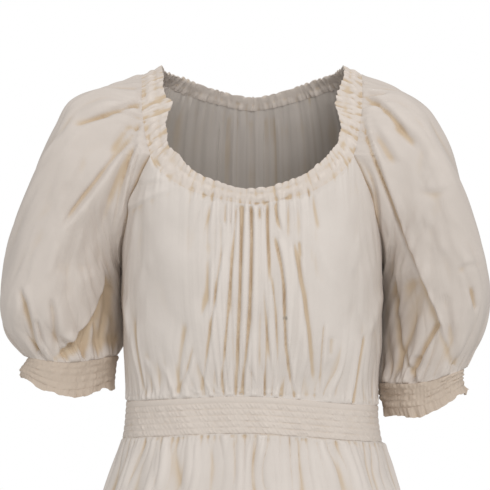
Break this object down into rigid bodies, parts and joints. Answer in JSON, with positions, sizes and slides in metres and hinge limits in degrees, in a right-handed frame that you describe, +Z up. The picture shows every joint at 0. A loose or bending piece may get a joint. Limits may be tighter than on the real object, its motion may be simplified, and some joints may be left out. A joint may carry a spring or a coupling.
{
  "type": "tiered midi dress, filled out with no wearer",
  "caption": "Cotton midi dress with a gathered scoop neck, puff sleeves on stitched cuffs, a stitched waistband and a tiered skirt, filled out as worn.",
  "frame": {"origin": "midway between the two shoulder points of the neckline, where the wearer's shoulders hold the dress up", "axes": "+Z up, -Y out of the front of the dress, +X towards the wearer's left"},
  "size_m": [0.6602, 0.5468, 1.203],
  "materials": {
    "cotton": "matt cream cotton, finely woven",
    "stitched_cotton": "matt cream cotton, puckered along rows of stitching"
  },
  "bodies": {
    "root": {"neck_casing": "stitched_cotton", "bodice_front": "cotton", "bodice_back": "cotton", "sleeve_left": "cotton", "sleeve_right": "cotton", "cuff_left": "stitched_cotton", "cuff_right": "stitched_cotton", "cuff_frill_left": "stitched_cotton", "cuff_frill_right": "stitched_cotton", "waistband_front": "stitched_cotton", "waistband_back": "stitched_cotton", "tier_1_front": "cotton", "tier_1_back": "cotton", "tier_2_front": "cotton", "tier_2_back": "cotton", "tier_3_front": "cotton", "tier_3_back": "cotton"}
  },
  "joints": []
}
